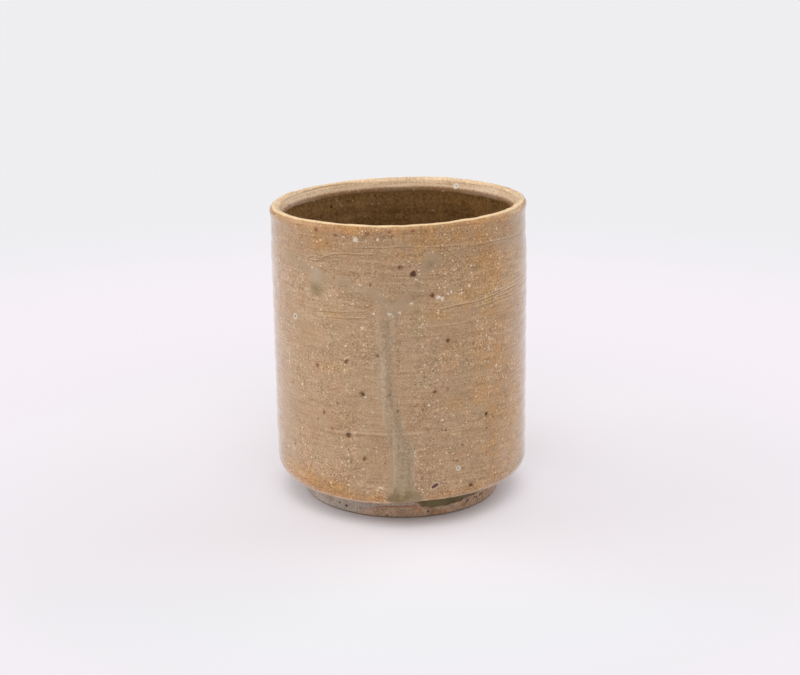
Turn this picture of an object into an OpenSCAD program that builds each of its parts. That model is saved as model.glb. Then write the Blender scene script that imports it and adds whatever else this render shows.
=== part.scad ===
// Straight-sided stoneware tea cup without a handle: thrown, turned and glazed.
// Millimetres, +Z up. The origin is the middle of the foot, on the surface that the cup stands on.
// The long ash run is on the front, towards -Y.

/* [Cup] */
// Height over all, from the surface it stands on to the crest of the lip
cup_height = 88; // [78:1:110]
// Diameter of the bare clay wall
wall_diameter = 74.6; // [68:0.2:90]
// Clay thickness half way up the wall
wall_thickness = 2.7; // [2.2:0.1:4]
// Clay thickness at the bottom of the wall
base_thickness = 4; // [3:0.1:6]
// Clay thickness of the floor
floor_thickness = 5; // [3:0.1:8]
// Radius of the rounded lower corner outside
corner_radius = 5; // [2.5:0.1:6]
// Radius of the well where wall and floor meet inside
well_radius = 9; // [4:0.5:14]

/* [Lip] */
// Clay thickness of the lip across its inner roll
lip_thickness = 2.8; // [2.6:0.1:4]
// Radius of the lip's crest and of its inner roll
lip_radius = 1.1; // [0.8:0.1:1.2]
// Drop from the crest of the lip to its inner roll
lip_drop = 2.6; // [1.5:0.1:5]

/* [Foot] */
// Diameter of the foot ring
foot_diameter = 59; // [48:0.5:62]
// Height of the foot ring
foot_height = 6.3; // [5:0.1:9]
// Width of the foot ring, from its outer to its inner face
foot_width = 5.5; // [3:0.1:9]
// Bevel on the lower edges of the foot ring
foot_bevel = 0.8; // [0.3:0.1:1.1]

/* [Glaze] */
// Thickness of the outer coat
outer_coat = 0.45; // [0.2:0.05:0.8]
// Thickness of the band over the lip
lip_coat = 0.45; // [0.2:0.05:0.8]
// Thickness of the coat inside
liner_coat = 0.45; // [0.2:0.05:0.8]
// Angle round the lower corner at which the outer coat ends
coat_end = 65; // [30:1:80]

/* [Ash] */
// Distance from the crest of the lip down to the top of the run
run_drop = 22; // [18:0.5:30]
// Thickness of the run on the outer coat
run_coat = 0.6; // [0.3:0.05:1]
// Thickness of the drops near the lip
drop_coat = 0.4; // [0.2:0.05:0.8]

/* [Glaze on the foot] */
// Thickness of the glassy patch
patch_coat = 0.35; // [0.2:0.05:0.6]
// How far the patch comes down the foot
patch_height = 3.7; // [2:0.1:3.8]
// Angle right of the front at which the patch starts
patch_start = 7; // [0:1:30]
// Angle round the foot that the patch covers
patch_sweep = 54; // [20:1:70]

/* [Hidden] */
$fn = 96;
arc_steps = 10;
wall_steps = 24;
curve_steps = 4;
drop_steps = 20;

clay_colour = [0.56, 0.47, 0.41];
foot_colour = [0.52, 0.44, 0.38];
outer_colour = [0.70, 0.57, 0.45];
lip_colour = [0.82, 0.69, 0.54];
liner_colour = [0.40, 0.29, 0.18];
run_colour = [0.64, 0.55, 0.45];
patch_colour = [0.39, 0.32, 0.23];

wall_r = wall_diameter / 2;
foot_r = foot_diameter / 2;
floor_top = foot_height + floor_thickness;
clay_top = cup_height - lip_coat;
corner = [wall_r - corner_radius, foot_height + corner_radius];
crest = [wall_r - lip_radius, clay_top - lip_radius];
roll = [wall_r - lip_thickness + lip_radius, crest.y - lip_drop];
// Direction square to the slope between the crest and the roll
slope_angle = 180 - atan2(crest.x - roll.x, lip_drop);
well = [wall_r - base_thickness - well_radius, floor_top + well_radius];
// How far the inside bows out half way up, so that the wall there has its own thickness
belly = (lip_thickness + base_thickness) / 2 - wall_thickness;

// The run from bottom to top: share of its length, sideways place, half width
run_stations = [
    [0, 1.8, 5.2], [0.06, 1.6, 5.8], [0.12, 0.6, 3.4], [0.18, 0.6, 2.3], [0.26, 0.8, 2.9],
    [0.38, -1, 2.7], [0.53, -3, 2.2], [0.68, -4.6, 2.7], [0.82, -4.2, 2.3], [0.94, -3.8, 2.6], [1, -4, 1.4]
];
run_top = cup_height - run_drop;
// Drops near the lip: sideways place, height above the top of the run, width, length
drops = [[-23.4, 5.6, 4.4, 8.4], [-14.9, 6.4, 2.8, 3.4], [-9.8, 4.6, 4.6, 3], [8.8, 12.6, 6.4, 5.4]];
// How much narrower a drop is at its top than at its bottom
drop_taper = 0.25;

function mix(a, b, t) = a + (b - a) * t;
function reverse(points) = [for (i = [len(points) - 1:-1:0]) points[i]];
function arc(centre, r, from, to) =
    [for (i = [0:arc_steps]) let (a = mix(from, to, i / arc_steps)) centre + r * [cos(a), sin(a)]];

// Smooth value of one column of the run's stations, at share t between station i and the next
function station(i, column) = run_stations[max(0, min(len(run_stations) - 1, i))][column];
function smooth(i, t, column) =
    let (a = station(i - 1, column), b = station(i, column))
    let (c = station(i + 1, column), d = station(i + 2, column))
    b + t * ((c - a) + t * ((2 * a - 5 * b + 4 * c - d) + t * (3 * b - a - 3 * c + d))) / 2;
function run_side(side) =
    [for (i = [0:len(run_stations) - 2], j = [0:curve_steps - 1])
        let (t = j / curve_steps)
        [smooth(i, t, 1) + side * smooth(i, t, 2), mix(foot_height, run_top, smooth(i, t, 0))]];

// Outlines of the clay in half section, each moved out by a coat of thickness t
function outer_line(t) = concat(arc(corner, corner_radius + t, -coat_end, 0), [[wall_r + t, crest.y]]);
function lip_line(t) =
    concat(arc(crest, lip_radius + t, 0, 90), arc(crest, lip_radius + t, 90, slope_angle),
           arc(roll, lip_radius + t, slope_angle, 180));
function wall_line(t) =
    [for (i = [1:wall_steps - 1])
        let (s = i / wall_steps)
        [wall_r - mix(lip_thickness, base_thickness, s) + belly * pow(sin(180 * s), 2) - t,
         mix(roll.y, well.y, s)]];
function inner_line(t) =
    concat([[roll.x - lip_radius - t, roll.y]], wall_line(t), arc(well, well_radius - t, 0, -90),
           [[0, floor_top + t]]);

module turned(points) {
    rotate_extrude() polygon(points);
}

// A closed skin between the clay, or a coat on it, and the next surface out
module skin(inside, outside) {
    turned(concat(outside, reverse(inside)));
}

// An upright outline, drawn as seen from the front, cut through the front half of the cup
module through_front(points) {
    rotate([90, 0, 0]) linear_extrude(wall_diameter) polygon(points);
}

// The front of the outer coat within an outline, as a layer of its own
module laid_on_coat(thickness, points) {
    intersection() {
        skin(outer_line(outer_coat), outer_line(outer_coat + thickness));
        through_front(points);
    }
}

module clay_body() {
    underside = concat([[0, foot_height]], arc(corner, corner_radius, -90, -coat_end));
    color(clay_colour) turned(concat(underside, outer_line(0), lip_line(0), inner_line(0)));
}

module foot_ring() {
    inner_r = foot_r - foot_width;
    color(foot_colour)
        turned([
            [inner_r + foot_bevel, 0], [foot_r - foot_bevel, 0], [foot_r, foot_bevel], [foot_r, foot_height],
            [inner_r, foot_height], [inner_r, foot_bevel]
        ]);
}

module liner_glaze() {
    color(liner_colour) skin(inner_line(0), inner_line(liner_coat));
}

module outer_glaze() {
    color(outer_colour) skin(outer_line(0), outer_line(outer_coat));
}

module lip_glaze() {
    color(lip_colour) skin(lip_line(0), lip_line(lip_coat));
}

module ash_run() {
    top = [[station(len(run_stations), 1), run_top]];
    color(run_colour) laid_on_coat(run_coat, concat(run_side(1), top, reverse(run_side(-1))));
}

module ash_drips() {
    color(run_colour)
        for (d = drops)
            laid_on_coat(drop_coat, [
                for (i = [0:drop_steps - 1])
                    let (a = 360 * i / drop_steps)
                    [d[0] + d[2] / 2 * cos(a) * (1 - drop_taper * sin(a)), run_top + d[1] + d[3] / 2 * sin(a)]
            ]);
}

module foot_glaze() {
    lower_edge = [
        for (i = [0:drop_steps])
            let (s = i / drop_steps)
            [foot_r * sin(patch_start + s * patch_sweep), foot_height - patch_height * sqrt(sin(180 * s))]
    ];
    color(patch_colour)
        intersection() {
            turned([
                [foot_r, foot_bevel], [foot_r + patch_coat, foot_bevel], [foot_r + patch_coat, foot_height],
                [foot_r, foot_height]
            ]);
            through_front(lower_edge);
        }
}

clay_body();
foot_ring();
liner_glaze();
outer_glaze();
lip_glaze();
ash_run();
ash_drips();
foot_glaze();
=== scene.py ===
from functools import partial

import bpy
import numpy as np
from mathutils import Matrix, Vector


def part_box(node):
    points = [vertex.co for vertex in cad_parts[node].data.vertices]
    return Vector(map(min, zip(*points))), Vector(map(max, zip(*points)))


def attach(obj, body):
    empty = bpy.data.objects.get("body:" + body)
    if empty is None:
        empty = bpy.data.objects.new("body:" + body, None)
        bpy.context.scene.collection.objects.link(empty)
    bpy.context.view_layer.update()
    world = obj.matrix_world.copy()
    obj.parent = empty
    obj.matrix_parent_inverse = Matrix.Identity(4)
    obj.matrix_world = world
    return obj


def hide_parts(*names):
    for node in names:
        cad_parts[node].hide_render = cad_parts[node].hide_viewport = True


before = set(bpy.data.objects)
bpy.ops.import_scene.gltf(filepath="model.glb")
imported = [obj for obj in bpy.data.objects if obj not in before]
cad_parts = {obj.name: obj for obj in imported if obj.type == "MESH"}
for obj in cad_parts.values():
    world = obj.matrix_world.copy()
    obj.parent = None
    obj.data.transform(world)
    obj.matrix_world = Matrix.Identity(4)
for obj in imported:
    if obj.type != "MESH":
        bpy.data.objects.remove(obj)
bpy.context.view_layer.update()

# Clay body
# The thrown wall and floor of the cup, in coarse sandy stoneware. Glaze covers it all but the underside,
# where the turned bare clay shows round the foot and in the recess inside the foot ring.
mm = 0.001
wall_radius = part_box("clay_body")[1].x / mm
foot_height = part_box("clay_body")[0].z / mm
floor_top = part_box("liner_glaze")[0].z / mm
cup_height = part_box("lip_glaze")[1].z / mm
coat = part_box("outer_glaze")[1].x / mm - wall_radius
corner_radius = 5.0
coat_end = 65.0
lip_radius = 1.1
lip_thickness = 2.8
lip_drop = 2.6
wall_thickness = 2.7
base_thickness = 4.0
well_radius = 9.0
corner = np.array([wall_radius - corner_radius, foot_height + corner_radius])
crest = np.array([wall_radius - lip_radius, cup_height - coat - lip_radius])
roll = np.array([wall_radius - lip_thickness + lip_radius, crest[1] - lip_drop])
well = np.array([wall_radius - base_thickness - well_radius, floor_top + well_radius])
slope_angle = 180 - np.degrees(np.arctan2(crest[0] - roll[0], lip_drop))

columns = 384
azimuth = np.arange(columns) * 360.0 / columns
azimuth = np.where(azimuth > 180, azimuth - 360, azimuth)

# How far the cup moved as it dried and was fired, and the heights between which that comes in or dies away
lean = 1.1
rim_rise = 0.028
wall_draw = 0.2
sway = 0.2
shoulder_draw = 0.28
neck_draw = 0.06
neck_height = 83.3
neck_width = 1.8
lip_wobble = 0.13
edge_lift = 0.9
corner_zone = 5, 9
sway_zone = 66, 82
wobble_zone = 70, 86
shoulder_zone = 72, 80
lip_zone = 84, 86.5


def smooth(value, low, high):
    """A rise from 0 at low to 1 at high, level at both ends."""
    share = np.clip((value - low) / (high - low), 0, 1)
    return share * share * (3 - 2 * share)


def waves(points, size, seed, count=28):
    """Uneven relief of about -1 to 1: a sum of plane waves, each about size long, in random directions."""
    draw = np.random.default_rng(seed)
    heading = draw.normal(size=(count, 3))
    heading /= np.linalg.norm(heading, axis=1, keepdims=True)
    pace = 2 * np.pi / (size * draw.uniform(0.6, 1.6, (count, 1)))
    phase = draw.uniform(0, 2 * np.pi, count)
    return np.sin(points @ (heading * pace).T + phase).sum(axis=-1) / np.sqrt(count / 2) / 1.6


def arc(centre, radius, start, end, steps):
    """Points of a half section on a circle about centre, from one angle to another in degrees."""
    angle = np.radians(np.linspace(start, end, steps))
    return centre + radius * np.stack([np.cos(angle), np.sin(angle)], axis=1)


def settle(points):
    """How drying and firing left the cup: it leans left, its lip rises to the right and wavers a little, the
    wall draws in below the lip, at the shoulder and in a neck, and sways right between foot and lip, and its
    lower edge lies higher on the right."""
    x, y, z = np.moveaxis(points, -1, 0)
    share = z / cup_height
    above_corner = smooth(z, *corner_zone)
    draw_in = wall_draw * above_corner * (1 - smooth(z, *lip_zone))
    draw_in += shoulder_draw * smooth(z, *shoulder_zone)
    draw_in += neck_draw * np.exp(-(((z - neck_height) / neck_width) ** 2))
    radius = np.maximum(np.hypot(x, y), 1e-9)
    inwards = np.where(radius > 10, draw_in / radius, 0)
    ring = np.stack([x / radius * 30, y / radius * 30, np.zeros_like(x)], axis=-1)
    waver = lip_wobble * waves(ring, 26, 5) * smooth(z, *wobble_zone)
    edge = edge_lift * smooth(x, -10, 8) * (1 - 0.4 * smooth(x, 18, 34))
    edge *= smooth(z, 1.5, 6) * (1 - smooth(z, 6.5, 12))
    moved = sway * above_corner * (1 - smooth(z, *sway_zone)) - lean * share
    height = z + rim_rise * x * share + waver + edge
    return np.stack([x * (1 - inwards) + moved, y * (1 - inwards), height], axis=-1)


def round_axis(turned, height, radius):
    """A point at an azimuth, from the front rightwards, a height and a distance from the axis."""
    angle = np.radians(turned)
    return np.stack(np.broadcast_arrays(radius * np.sin(angle), -radius * np.cos(angle), height), axis=-1)


def turn(section, lift=0.0):
    """A half section carried round the axis: ring i has the section's i-th radius and height, moved out
    square to the section by lift, and column j has the j-th azimuth."""
    along = np.gradient(section, axis=0)
    square = np.stack([along[:, 1], -along[:, 0]], axis=1)
    square /= np.maximum(np.linalg.norm(square, axis=1, keepdims=True), 1e-12)
    lift = np.broadcast_to(lift, (len(section), columns))[..., None]
    radius, height = np.moveaxis(section[:, None] + lift * square[:, None], -1, 0)
    return settle(round_axis(azimuth, height, radius))


def bands(starts, around=columns):
    """Quads that join each ring of points to the next, given the number of each ring's first point."""
    j = np.arange(around)
    on = (j + 1) % around
    ring, following = starts[:-1, None], starts[1:, None]
    return np.stack([ring + j, ring + on, following + on, following + j], axis=-1).reshape(-1, 4).tolist()


def capped_faces(rows):
    """Faces of a form turned from the axis to the axis: a fan, bands of quads between rings, and a fan.
    Vertex 0 is the first pole and the last vertex is the other."""
    starts = 1 + np.arange(rows - 2) * columns
    j = np.arange(columns)
    on = (j + 1) % columns
    first_fan = np.stack([0 * j, 1 + on, 1 + j], axis=-1)
    last_fan = starts[-1] + np.stack([0 * j + columns, j, on], axis=-1)
    return first_fan.tolist() + bands(starts) + last_fan.tolist()


def between_poles(grid):
    """The vertices of rings whose first and last ring are single points on the axis."""
    middle = grid[1:-1].reshape(-1, *grid.shape[2:])
    return np.concatenate([grid[:1, 0], middle, grid[-1:, 0]])


def new_material(finish):
    """A material named as its finish, which is a function that lays its layers down in a node tree."""
    made = bpy.data.materials.new(finish.__name__)
    made.use_nodes = True
    made.node_tree.nodes.clear()
    finish(made.node_tree)
    return made


def piece(name, points, faces, finish, node_name, slot, **values):
    """A mesh object at the origin, from points in millimetres, that rides on the cup in place of a CAD node.
    Further values become attributes of its vertices."""
    mesh = bpy.data.meshes.new(name)
    mesh.from_pydata((points.reshape(-1, 3) * mm).tolist(), [], faces)
    mesh.polygons.foreach_set("use_smooth", np.ones(len(mesh.polygons), bool))
    mesh.set_sharp_from_angle(angle=np.radians(50))
    for label, value in values.items():
        made = mesh.attributes.new(label, "FLOAT", "POINT")
        made.data.foreach_set("value", np.ravel(value).astype(np.float32))
    mesh.materials.append(new_material(finish))
    made = bpy.data.objects.new(name, mesh)
    bpy.context.scene.collection.objects.link(made)
    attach(made, "root")
    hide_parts(node_name)


class Value:
    """What a shader node gives at each point of a surface. A sum on it makes a further node."""

    def __init__(self, socket):
        self.socket = socket
        self.tree = socket.id_data

    def __add__(self, other):
        return calc("ADD", self, other)

    def __sub__(self, other):
        return calc("SUBTRACT", self, other)

    def __rsub__(self, other):
        return calc("SUBTRACT", other, self)

    def __mul__(self, other):
        return calc("MULTIPLY", self, other)

    def swing(self, amount):
        """A cloudy value turned into one that swings about 0."""
        return calc("MULTIPLY_ADD", self, amount, -amount / 2)

    def rise(self, low, high):
        """0 at low and 1 at high, with a smooth rise or fall between."""
        inputs = {"Value": self, "From Min": low, "From Max": high}
        return node(self.tree, "MapRange", inputs, interpolation_type="SMOOTHSTEP")

    def beside(self, output):
        """Another output of the same node."""
        return Value(self.socket.node.outputs[output])

    def lay(self, share, over, amount=1.0, mode="MIX"):
        """Lays a colour over this one by a share, of which amount is the most."""
        if amount != 1.0:
            share = share * amount
        self.socket = tint(share, self, over, mode).socket

    def stain(self, share, over, amount=1.0):
        """Multiplies this colour by another, by a share of which amount is the most."""
        self.lay(share, over, amount, "MULTIPLY")


def node(tree, kind, inputs=None, output=0, **settings):
    """A shader node, given as the value of one of its outputs. An input that is another node's value is
    linked, and any other is set, a colour by its red, green and blue."""
    made = tree.nodes.new("ShaderNode" + kind)
    for label, setting in settings.items():
        setattr(made, label, setting)
    for label, value in (inputs or {}).items():
        socket = made.inputs[label]
        if isinstance(value, Value):
            tree.links.new(value.socket, socket)
        else:
            socket.default_value = (*value, 1.0) if socket.type == "RGBA" else value
    return Value(made.outputs[output]) if made.outputs else None


def calc(operation, *values):
    """One sum on values of nodes and plain numbers."""
    tree = next(value.tree for value in values if isinstance(value, Value))
    return node(tree, "Math", dict(enumerate(values)), operation=operation)


def tint(share, under, over, mode="MIX"):
    """A colour laid over another by a share."""
    return node(share.tree, "Mix", {0: share, 6: under, 7: over}, 2, data_type="RGBA", blend_type=mode)


def place(tree):
    """Where a point of the cup is, in millimetres."""
    where = node(tree, "TexCoord", output="Object")
    return node(tree, "VectorMath", {0: where, "Scale": 1 / mm}, operation="SCALE")


def stirred(where, size, amount):
    """Places moved about at random by up to amount, so that round marks drawn on them come out ragged."""
    swirl = node(where.tree, "TexNoise", {"Vector": where, "Scale": 1 / size, "Detail": 2.0}, "Color")
    swirl = node(where.tree, "VectorMath", {0: swirl, 1: (0.5, 0.5, 0.5)}, operation="SUBTRACT")
    inputs = {0: swirl, 1: (amount, amount, amount), 2: where}
    return node(where.tree, "VectorMath", inputs, operation="MULTIPLY_ADD")


def clouds(where, size, detail=2.0):
    """A cloudy value of about 0 to 1 with lumps about half of size across, in millimetres."""
    return node(where.tree, "TexNoise", {"Vector": where, "Scale": 1 / size, "Detail": detail}, "Fac")


def drawn_out(where, across, up):
    """Places squeezed so that clouds on them are longer one way than the other."""
    return node(where.tree, "Mapping", {"Vector": where, "Scale": (across, across, up)})


def grains(where, size, chance, least, spread, soft):
    """Grains scattered one to a cell of about size millimetres: 1 inside the share of them that chance
    picks, each of a radius of its own, and 0 elsewhere."""
    away = node(where.tree, "TexVoronoi", {"Vector": where, "Scale": 1 / size}, "Distance")
    pick = node(where.tree, "SeparateColor", {0: away.beside("Color")})
    inputs = {"Value": pick.beside(1), "To Min": least, "To Max": least + spread}
    radius = node(where.tree, "MapRange", inputs)
    return (radius - away * size).rise(-soft, soft) * calc("LESS_THAN", pick, chance)


def attribute(tree, label):
    """A value that the mesh carries at each of its points."""
    return node(tree, "Attribute", output="Fac", attribute_name=label)


def fire(base, roughness, height, depth, shine=0.35, glassy=0.0):
    """The material's shader: its colour, its roughness, a bump of depth millimetres for a height of 1, how
    strongly it mirrors, and how much of a smooth glassy skin lies over it."""
    bump = node(base.tree, "Bump", {"Height": height, "Distance": depth * mm, "Strength": 1.0})
    inputs = {"Base Color": base, "Roughness": roughness, "Normal": bump, "Specular IOR Level": shine}
    inputs.update({"Coat Weight": glassy, "Coat Roughness": 0.12, "Coat IOR": 1.335})
    shader = node(base.tree, "BsdfPrincipled", inputs)
    node(base.tree, "OutputMaterial", {"Surface": shader})


def bare_stoneware(tree):
    """Bare fired clay: brown with rusty clouds, pale grit and dark pits."""
    where = place(tree)
    fine = clouds(where, 0.5, 3)
    mottle = fine.swing(1.8) + clouds(where, 5, 4)
    base = tint(mottle, (0.2, 0.125, 0.078), (0.44, 0.3, 0.205))
    rust = clouds(where, 9, 3).rise(0.52, 0.75)
    base.lay(rust, (0.4, 0.19, 0.08), 0.6)
    pale = grains(where, 0.8, 0.25, 0.05, 0.25, 0.06)
    base.lay(pale, (0.55, 0.43, 0.31), 0.6)
    pits = grains(where, 1.7, 0.3, 0.05, 0.3, 0.06)
    base.lay(pits, (0.08, 0.05, 0.035), 0.7)
    fire(base, fine.rise(-1.4, 1.4), fine + pale * 0.5 - pits, 0.12)


def outer_line(steps):
    """The clay's half section outside: round the lower corner from the end of the glaze, and up the wall."""
    wall = np.linspace((wall_radius, corner[1]), (wall_radius, crest[1]), 4 * steps)[1:]
    return np.concatenate([arc(corner, corner_radius, -coat_end, 0, steps), wall])


def lip_line(thickness, steps):
    """The half section of the lip under a coat: over the crest, down the slope and round the inner roll."""
    over = arc(crest, lip_radius + thickness, 0, slope_angle, steps)
    inner = arc(roll, lip_radius + thickness, slope_angle, 180, steps // 2)
    return np.concatenate([over, np.linspace(over[-1], inner[0], steps // 2)[1:-1], inner])


def inner_line(thickness, wall_steps, well_steps, floor_steps):
    """The half section inside under a coat: down the wall, which bows out half way, round the well and
    along the floor to the axis."""
    share = np.linspace(0, 1, wall_steps)
    belly = (lip_thickness + base_thickness) / 2 - wall_thickness
    inset = lip_thickness + (base_thickness - lip_thickness) * share - belly * np.sin(np.pi * share) ** 2
    wall = np.stack([wall_radius - inset - thickness, roll[1] + (well[1] - roll[1]) * share], axis=1)
    bend = arc(well, well_radius - thickness, 0, -90, well_steps)
    floor = np.linspace((well[0], floor_top + thickness), (0, floor_top + thickness), floor_steps)
    return np.concatenate([wall, bend[1:], floor[1:]])


underside_rings = 44
tool_pitch, tool_depth = 1.9, 0.09
underside = np.linspace((0, foot_height), (corner[0], foot_height), underside_rings)
underside_bend = arc(corner, corner_radius, -90, -coat_end, 8)[1:-1]
clay_inside = inner_line(0, 20, 14, 8)
clay_lip = lip_line(0, 12)
clay_outside = np.concatenate([underside, underside_bend, outer_line(10)])
clay_section = np.concatenate([clay_outside, clay_lip[1:], clay_inside[1:]])
clay_rings = turn(clay_section)
turning = tool_depth * np.sin(2 * np.pi * underside[:, 0] / tool_pitch) * smooth(underside[:, 0], 1, 4)
clay_rings[:underside_rings, :, 2] += turning[:, None]
piece("clay_body.thrown", between_poles(clay_rings), capped_faces(len(clay_section)),
      bare_stoneware, "clay_body", "stoneware")

# Foot ring
# The low turned foot that the cup stands on. A thin grey wash covers its upper part, down to a rusty line,
# and the clay below is bare and brown, with pits, orange flecks and the marks of the turning tool.
foot_trim = 0.35
foot_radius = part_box("foot_ring")[1].x / mm - foot_trim
foot_width = 5.5
foot_bevel = 0.4
foot_inner = foot_radius - foot_width

# Deep pits in the foot's wall: azimuth, height and radius
foot_pits = [
    (-33.5, 1.9, 0.5), (-38.5, 2.4, 0.3), (-52, 3.2, 0.35), (15.2, 1.7, 0.4), (-8, 0.9, 0.3),
    (41.5, 2.4, 0.42), (40.3, 2, 0.3), (47.9, 2.6, 0.4), (49.5, 2.4, 0.36), (52.7, 2.5, 0.42),
    (54.5, 2.7, 0.5), (130, 2, 0.5),
]
# Rusty smears on it, in the same terms
foot_rust = [
    (18.6, 1.1, 0.7), (22.3, 0.8, 0.7), (25.4, 0.8, 0.6), (38.2, 1.9, 0.55), (-45.6, 3, 0.5),
    (-46.4, 3.7, 0.4), (-44.6, 2.4, 0.35), (55.7, 1.5, 0.45), (10.3, 2.3, 0.6), (8, 2.8, 0.5),
    (-24, 2, 0.5), (-100, 3, 0.8), (160, 2, 0.9),
]


def marks(where, places, surface):
    """How far a point lies inside the nearest of some round marks, in millimetres: below 0 outside them."""
    inside = None
    for turned, height, radius in places:
        spot = settle(surface(turned, height))
        depth = radius - node(where.tree, "VectorMath", {0: where, 1: spot}, "Value", operation="DISTANCE")
        inside = depth if inside is None else calc("MAXIMUM", inside, depth)
    return inside


# Points of the foot's outer wall, before the cup settles
on_foot = partial(round_axis, radius=foot_radius)


def washed_foot(tree):
    """Bare brown clay, and a grey wash over it that ends in a rusty line. A painted contact shadow darkens
    its bottom edge.
    """
    where = place(tree)
    edge = attribute(tree, "wash") + clouds(where, 2.2, 3).swing(0.9)
    washed = edge.rise(-1, 0.5)
    fine = clouds(where, 0.55, 3)
    mottle = fine.swing(1.8) + clouds(where, 3, 3)
    clay = tint(mottle, (0.2, 0.118, 0.068), (0.65, 0.44, 0.295))
    grey = tint(mottle, (0.26, 0.2, 0.16), (0.61, 0.51, 0.43))
    base = tint(washed, clay, grey)
    rusty = edge.rise(-0.45, -0.1) * edge.rise(0.3, 0.02) * attribute(tree, "rust")
    base.lay(rusty, (0.33, 0.13, 0.035), 0.85)
    flecks = grains(where, 1.4, 0.3, 0.08, 0.25, 0.1)
    base.lay(flecks, (0.45, 0.2, 0.07), 0.6)
    pale = grains(where, 0.8, 0.3, 0.05, 0.2, 0.06)
    base.lay(pale, (0.62, 0.5, 0.4), 0.55)
    pits = grains(where, 1.6, 0.18, 0.04, 0.22, 0.07)
    bent = stirred(where, 0.7, 0.7)
    smear = marks(bent, foot_rust, on_foot).rise(-0.6, 0.4)
    base.lay(smear, (0.36, 0.15, 0.045), 0.6)
    pits = calc("MAXIMUM", pits, marks(bent, foot_pits, on_foot).rise(-0.12, 0.15))
    base.lay(pits, (0.045, 0.03, 0.02), 0.85)
    # painted contact shadow: the bottom edge darkened where the foot meets the table
    base.lay(attribute(tree, "stand"), (0.1, 0.075, 0.065), 0.75)
    fire(base, fine.rise(-1.2, 1.6), fine + washed * 0.4 - pits, 0.14)


def closed_faces(rows):
    """Faces of a ring-shaped skin: every ring joins the next, and the last joins the first."""
    return bands(np.append(np.arange(rows), 0) * columns)


wall_rows, hollow_rows, bevel_rows, stand_rows = 30, 10, 8, 14
foot_wall = np.linspace((foot_radius, foot_bevel), (foot_radius, foot_height), wall_rows)
foot_inside = np.linspace((foot_inner, foot_height), (foot_inner, foot_bevel), hollow_rows)
lower_bevel = arc(np.array([foot_radius - foot_bevel, foot_bevel]), foot_bevel, -90, 0, bevel_rows)[:-1]
inner_bevel = arc(np.array([foot_inner + foot_bevel, foot_bevel]), foot_bevel, 180, 270, bevel_rows)[1:]
rest = np.linspace((inner_bevel[-1, 0], 0), (lower_bevel[0, 0], 0), stand_rows)[1:-1]
foot_section = np.concatenate([lower_bevel, foot_wall, foot_inside, inner_bevel, rest])
foot_out, foot_level = foot_section[:, :1], foot_section[:, 1:]
skin_depth, no_wash = 0.9, -3.0
outside = foot_out > foot_radius - skin_depth
foot_plain = turn(foot_section)
foot_uneven = 0.07 * waves(foot_plain, 9, 11) + 0.035 * waves(foot_plain, 3, 12)
foot_uneven += 0.04 * np.sin(2 * np.pi * foot_level / 1.5)
foot_rings = turn(foot_section, smooth(foot_level, 0.2, 1.2) * outside * foot_uneven)
# The wash ends at this height above the table, round the foot: low on the left, higher to the right
wash_low, wash_high, wash_right = 0.4, 3.5, 4.2
wash_edge = wash_low + (wash_high - wash_low) * smooth(azimuth, -32, -9)
wash_edge = np.where(azimuth > 8, wash_right, wash_edge) - 2.4 * smooth(np.abs(azimuth), 80, 140)
wash = np.where(outside, foot_level - wash_edge, no_wash)
# painted contact shadow: 1 on the outer bevel at the bottom, fading out by 0.7 mm above the table
stand = np.where(foot_out > foot_radius - foot_bevel, 1 - smooth(foot_level, 0.1, 0.7), 0)
rust = smooth(azimuth, -22, -12) * (1 - smooth(azimuth, 10, 16))
piece("foot_ring.turned", foot_rings, closed_faces(len(foot_section)), washed_foot,
      "foot_ring", "foot_clay", wash=wash, rust=np.tile(rust, len(foot_section)),
      stand=np.repeat(stand, columns))

# Liner glaze
# The coat poured inside and swirled round: dark olive brown and glossy, speckled where it thins towards
# the lip, and pooled into a deep green glass in the well.

# Marks on the wall inside: azimuth, height and radius
liner_pits = [(-141.8, 81.1, 0.42), (132.4, 83.2, 0.32), (60, 70, 0.4), (-20, 64, 0.45), (15, 48, 0.4)]
liner_pale = [
    (-145.6, 82.8, 0.2), (-146.5, 82.3, 0.2), (-147.4, 81.8, 0.2), (-148, 81.2, 0.2), (-148.6, 80.7, 0.2),
    (161.4, 78, 0.3), (-155, 82.1, 0.28), (-166, 80.3, 0.28), (-60, 72, 0.3), (30, 60, 0.3),
]
liner_stains = [(142.8, 81, 0.62), (-80, 66, 0.7), (100, 55, 0.7)]
# Points of the liner high on the wall, before the cup settles
inside_wall = partial(round_axis, radius=wall_radius - lip_thickness - coat)


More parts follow.
